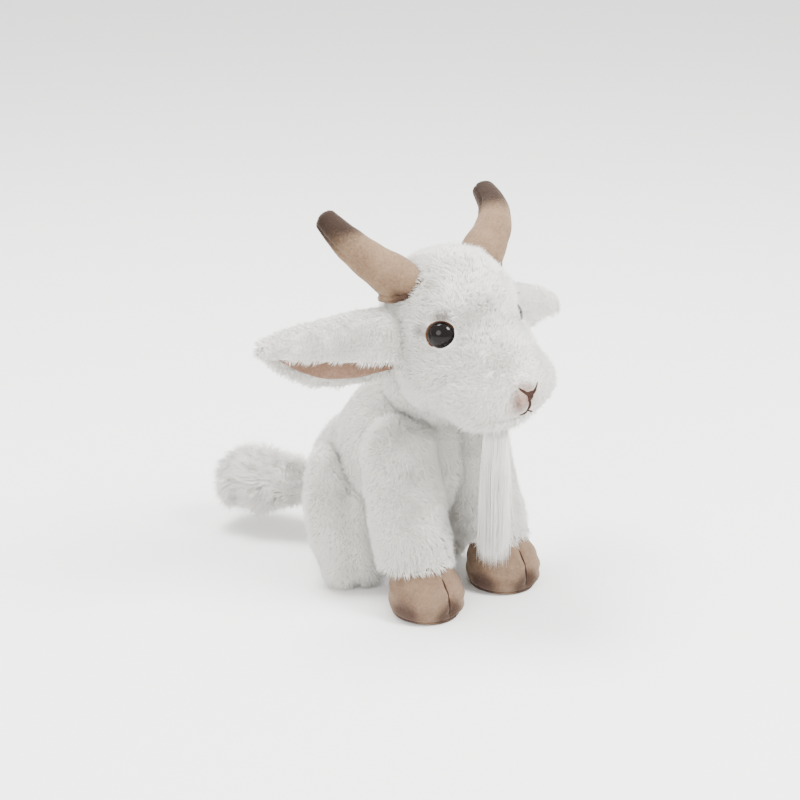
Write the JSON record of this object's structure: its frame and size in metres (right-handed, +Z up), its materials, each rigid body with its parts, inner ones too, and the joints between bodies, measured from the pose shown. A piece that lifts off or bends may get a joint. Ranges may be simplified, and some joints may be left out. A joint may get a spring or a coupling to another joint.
{
  "type": "plush goat",
  "caption": "Sitting stuffed plush goat with velour horns and hooves, folded ears, glossy eyes and a long beard; soft limbs, ears and tail bend and spring back.",
  "frame": {"origin": "on the floor at the middle of the flat seat, under the rump", "axes": "+Z up, -Y the way the goat faces, +X the goat's own left"},
  "size_m": [0.1762, 0.1755, 0.1786],
  "materials": {
    "white_plush": "short dense pile",
    "beard_hair": "long straight fibre",
    "fibre_filling": "loose polyester fibre",
    "ear_lining": "short nap",
    "horn_velour": "short nap with dark sprayed tips",
    "hoof_velour": "short nap, mottled",
    "eye_plastic": "polished dome",
    "iris_plastic": "painted",
    "washer_plastic": "moulded",
    "stitch_thread": "satin stitch"
  },
  "bodies": {
    "torso": {"belly_panel": "white_plush", "body_left_panel": "white_plush", "body_right_panel": "white_plush", "body_stuffing": "fibre_filling", "seat_panel": "white_plush"},
    "neck": {"neck_panel": "white_plush", "neck_stuffing": "fibre_filling"},
    "head": {"chin_panel": "white_plush", "eye_left_dome": "eye_plastic", "eye_left_iris": "iris_plastic", "eye_left_stem": "washer_plastic", "eye_left_washer": "washer_plastic", "eye_right_dome": "eye_plastic", "eye_right_iris": "iris_plastic", "eye_right_stem": "washer_plastic", "eye_right_washer": "washer_plastic", "head_gusset_panel": "white_plush", "head_left_panel": "white_plush", "head_right_panel": "white_plush", "head_stuffing": "fibre_filling", "mouth_stitching": "stitch_thread", "nose_stitching": "stitch_thread"},
    "beard": {"beard": "beard_hair"},
    "ear_right": {"ear_right_lining": "ear_lining", "ear_right_plush": "white_plush"},
    "ear_left": {"ear_left_lining": "ear_lining", "ear_left_plush": "white_plush"},
    "horn_right": {"horn_right_back_panel": "horn_velour", "horn_right_front_panel": "horn_velour", "horn_right_stuffing": "fibre_filling"},
    "horn_left": {"horn_left_back_panel": "horn_velour", "horn_left_front_panel": "horn_velour", "horn_left_stuffing": "fibre_filling"},
    "front_leg_right": {"front_leg_right_inner_panel": "white_plush", "front_leg_right_outer_panel": "white_plush", "front_leg_right_stuffing": "fibre_filling", "hoof_right_cleft_stitch": "stitch_thread", "hoof_right_sole": "hoof_velour", "hoof_right_upper": "hoof_velour"},
    "front_leg_left": {"front_leg_left_inner_panel": "white_plush", "front_leg_left_outer_panel": "white_plush", "front_leg_left_stuffing": "fibre_filling", "hoof_left_cleft_stitch": "stitch_thread", "hoof_left_sole": "hoof_velour", "hoof_left_upper": "hoof_velour"},
    "hind_leg_right": {"hind_leg_right_foot_panel": "white_plush", "hind_leg_right_inseam_panel": "white_plush", "hind_leg_right_stuffing": "fibre_filling", "hind_leg_right_thigh_panel": "white_plush"},
    "hind_leg_left": {"hind_leg_left_foot_panel": "white_plush", "hind_leg_left_inseam_panel": "white_plush", "hind_leg_left_stuffing": "fibre_filling", "hind_leg_left_thigh_panel": "white_plush"},
    "tail": {"tail_stuffing": "fibre_filling", "tail_top_panel": "white_plush", "tail_under_panel": "white_plush"}
  },
  "joints": [
    {"name": "neck_turn", "type": "hinge", "parent": "torso", "child": "neck", "pos_m": [0, -0.033, 0.098], "axis": [0, 0, 1], "range_deg": [-15, 15], "stiffness_Nm_per_rad": 0.3},
    {"name": "head_nod", "type": "hinge", "parent": "neck", "child": "head", "pos_m": [0, -0.033, 0.098], "axis": [1, 0, 0], "range_deg": [-8, 8], "stiffness_Nm_per_rad": 0.6},
    {"name": "beard_swing", "type": "hinge", "parent": "head", "child": "beard", "pos_m": [0, -0.075, 0.087], "axis": [-1, 0, 0], "range_deg": [-8, 40], "deforming": ["beard"]},
    {"name": "ear_right_swing", "type": "hinge", "parent": "head", "child": "ear_right", "pos_m": [-0.0305, -0.038, 0.124], "axis": [0, 0, 1], "range_deg": [-25, 25], "stiffness_Nm_per_rad": 0.012},
    {"name": "ear_left_swing", "type": "hinge", "parent": "head", "child": "ear_left", "pos_m": [0.0305, -0.038, 0.123], "axis": [0, 0, 1], "range_deg": [-25, 25], "stiffness_Nm_per_rad": 0.012},
    {"name": "horn_right_bend", "type": "hinge", "parent": "head", "child": "horn_right", "pos_m": [-0.024, -0.038, 0.149], "axis": [-0.7657, -0.6432, 0], "range_deg": [-8, 8], "stiffness_Nm_per_rad": 0.05},
    {"name": "horn_left_bend", "type": "hinge", "parent": "head", "child": "horn_left", "pos_m": [0.024, -0.038, 0.15], "axis": [-0.7278, 0.6858, 0], "range_deg": [-8, 8], "stiffness_Nm_per_rad": 0.05},
    {"name": "front_leg_right_swing", "type": "hinge", "parent": "torso", "child": "front_leg_right", "pos_m": [-0.0235, -0.044, 0.066], "axis": [-1, 0, 0], "range_deg": [0, 10], "stiffness_Nm_per_rad": 0.25},
    {"name": "front_leg_left_swing", "type": "hinge", "parent": "torso", "child": "front_leg_left", "pos_m": [0.0235, -0.044, 0.066], "axis": [-1, 0, 0], "range_deg": [0, 10], "stiffness_Nm_per_rad": 0.25},
    {"name": "hind_leg_right_swing", "type": "hinge", "parent": "torso", "child": "hind_leg_right", "pos_m": [-0.034, -0.004, 0.036], "axis": [1, 0, 0], "range_deg": [0, 12], "stiffness_Nm_per_rad": 0.25},
    {"name": "hind_leg_left_swing", "type": "hinge", "parent": "torso", "child": "hind_leg_left", "pos_m": [0.034, -0.004, 0.036], "axis": [1, 0, 0], "range_deg": [0, 12], "stiffness_Nm_per_rad": 0.25},
    {"name": "tail_lift", "type": "hinge", "parent": "torso", "child": "tail", "pos_m": [-0.004, 0.0365, 0.027], "axis": [0.8603, 0.5098, 0], "range_deg": [-10, 15], "stiffness_Nm_per_rad": 0.05}
  ]
}
